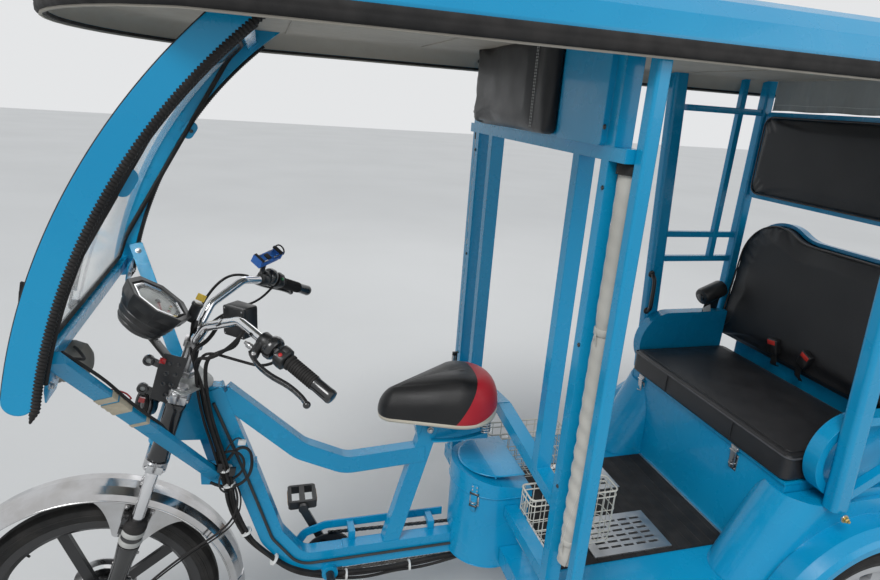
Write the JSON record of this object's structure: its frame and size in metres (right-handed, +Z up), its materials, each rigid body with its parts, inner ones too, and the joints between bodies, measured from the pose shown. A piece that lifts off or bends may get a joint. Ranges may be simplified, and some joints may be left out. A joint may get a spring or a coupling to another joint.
{
  "type": "electric assist passenger cycle rickshaw",
  "caption": "Three-wheeled passenger cycle rickshaw with a curved windscreen, a roofed cabin, a step-through pedal frame and a bench behind the rider.",
  "frame": {"origin": "on the ground under the middle of the vehicle's length and width", "axes": "+X forward, +Y to the rider's left, +Z up"},
  "size_m": [2.99, 1.096, 1.902],
  "materials": {
    "blue_paint": "gloss",
    "black_metal": "semi-gloss",
    "steel": "satin",
    "chrome": "polished",
    "cast_alloy": "painted black",
    "bright_alloy": "satin",
    "tyre": "matt",
    "rubber": "matt",
    "black_plastic": "matt",
    "leatherette": "grained",
    "roof_lining": "matt",
    "curtain": "coated cloth",
    "cream_curtain": "coated cloth",
    "glass": "clear",
    "cream_wire": "plastic coated",
    "lamp": "clear red",
    "grey_rim": "painted grey",
    "cream_plastic": "satin"
  },
  "bodies": {
    "frame": {"armrest_left": "blue_paint", "armrest_right": "blue_paint", "backrest_frame": "blue_paint", "backrest_pad": "leatherette", "battery_pack": "black_plastic", "bench_box": "blue_paint", "cabin_frame_left": "blue_paint", "cabin_frame_right": "blue_paint", "cable_loom": "black_plastic", "chain": "steel", "chain_guard": "blue_paint", "floor_mat": "rubber", "floor_plate": "blue_paint", "foot_grates": "bright_alloy", "front_lamp": "black_plastic", "head_pad": "leatherette", "leaf_springs": "black_metal", "main_frame": "blue_paint", "partition_frame": "blue_paint", "partition_head_box": "blue_paint", "rear_axle": "black_metal", "rear_board_frame": "blue_paint", "rear_board_pad": "leatherette", "rear_body_left": "blue_paint", "rear_body_right": "blue_paint", "rear_chassis": "blue_paint", "rear_curtain": "curtain", "rear_panel": "blue_paint", "roof_edge_trim": "rubber", "roof_lining": "roof_lining", "roof_shell": "blue_paint", "saddle": "leatherette", "saddle_base": "cream_plastic", "side_curtains": "cream_curtain", "tail_lamps": "lamp", "tool_box": "blue_paint", "windscreen_frame": "blue_paint", "windscreen_glass": "glass", "windscreen_struts": "blue_paint", "wiper": "black_metal", "wire_baskets": "cream_wire"},
    "steering": {"fork": "steel", "front_fender": "chrome", "handlebar": "chrome", "handlebar_grips": "rubber", "bar_controls": "black_plastic", "instrument_head": "black_plastic"},
    "front_wheel": {"front_rim": "cast_alloy", "front_tyre": "tyre"},
    "rear_wheel_left": {"rear_rim_left": "grey_rim", "rear_tyre_left": "tyre"},
    "rear_wheel_right": {"rear_rim_right": "grey_rim", "rear_tyre_right": "tyre"},
    "crank": {"crankset": "black_metal"},
    "left_pedal": {"pedal_left": "black_plastic"},
    "right_pedal": {"pedal_right": "black_plastic"},
    "box_lid": {"tool_box_lid": "blue_paint"},
    "seat_lid": {"bench_lid": "blue_paint", "bench_cushion": "leatherette"}
  },
  "joints": [
    {"name": "steering_turn", "type": "hinge", "parent": "frame", "child": "steering", "pos_m": [0.85, 0, 1.02], "axis": [-0.3239, 0, 0.9461], "range_deg": [-35, 35]},
    {"name": "front_wheel_turn", "type": "hinge", "parent": "steering", "child": "front_wheel", "pos_m": [1.12, 0, 0.305], "axis": [0, 1, 0], "continuous": true},
    {"name": "rear_wheel_left_turn", "type": "hinge", "parent": "frame", "child": "rear_wheel_left", "pos_m": [-0.985, 0.5, 0.27], "axis": [0, 1, 0], "continuous": true},
    {"name": "rear_wheel_right_turn", "type": "hinge", "parent": "frame", "child": "rear_wheel_right", "pos_m": [-0.985, -0.5, 0.27], "axis": [0, 1, 0], "continuous": true},
    {"name": "crank_turn", "type": "hinge", "parent": "frame", "child": "crank", "pos_m": [0.5, 0, 0.295], "axis": [0, 1, 0], "continuous": true},
    {"name": "left_pedal_turn", "type": "hinge", "parent": "crank", "child": "left_pedal", "pos_m": [0.429, 0.143, 0.14274], "axis": [0, 1, 0], "continuous": true},
    {"name": "right_pedal_turn", "type": "hinge", "parent": "crank", "child": "right_pedal", "pos_m": [0.571, -0.143, 0.44726], "axis": [0, 1, 0], "continuous": true},
    {"name": "box_lid_swing", "type": "hinge", "parent": "frame", "child": "box_lid", "pos_m": [-0.0885, 0, 0.562], "axis": [0, -1, 0], "range_deg": [0, 16]},
    {"name": "seat_lid_swing", "type": "hinge", "parent": "frame", "child": "seat_lid", "pos_m": [-1.16, 0, 0.69], "axis": [0, -1, 0], "range_deg": [0, 30]}
  ]
}
